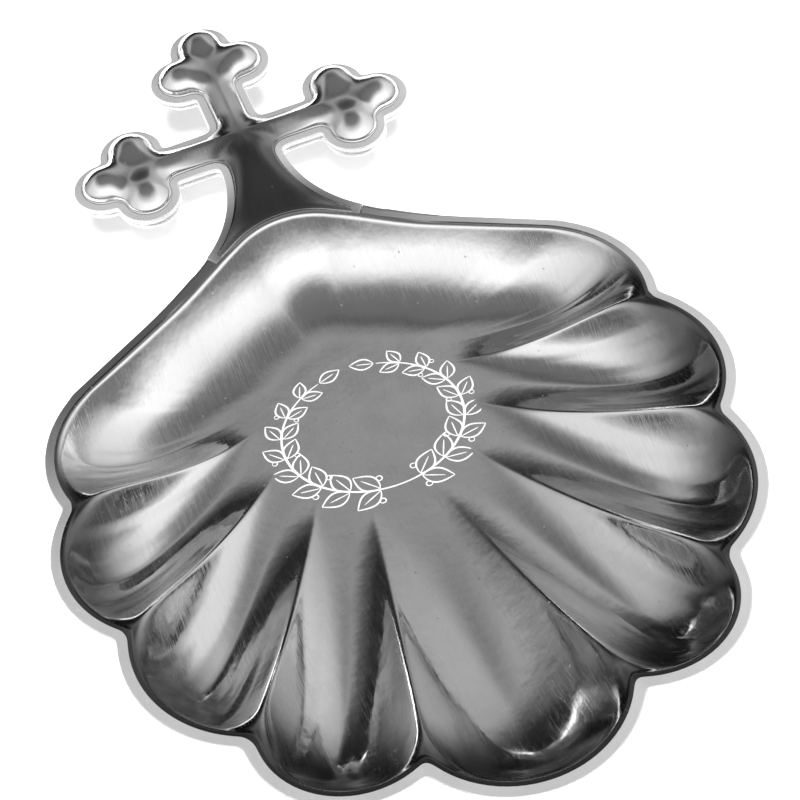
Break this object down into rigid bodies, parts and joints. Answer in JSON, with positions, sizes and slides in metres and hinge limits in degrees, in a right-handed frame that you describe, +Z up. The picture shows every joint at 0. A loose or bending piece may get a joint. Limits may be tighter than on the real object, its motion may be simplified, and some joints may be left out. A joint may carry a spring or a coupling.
{
  "type": "baptismal shell",
  "caption": "Fluted scallop-shell bowl with a flat rim and a hollow budded-cross handle, for pouring water at a baptism.",
  "frame": {"origin": "on the flat underside of the bowl's floor, at the point that the flutes fan out from, in the plane of symmetry", "axes": "+Y along the length towards the cross, +X to the right seen from above with the cross pointing away, +Z up out of the bowl"},
  "size_m": [0.0908, 0.145, 0.0203],
  "materials": {
    "polished_silver": "polished, with fine handling scratches",
    "satin_silver": "satin",
    "silver_solder": "dull"
  },
  "bodies": {
    "root": {"shell_bowl": "polished_silver", "cross_front": "polished_silver", "cross_back": "satin_silver", "cross_seam_solder": "silver_solder", "root_lap_solder": "silver_solder"}
  },
  "joints": []
}
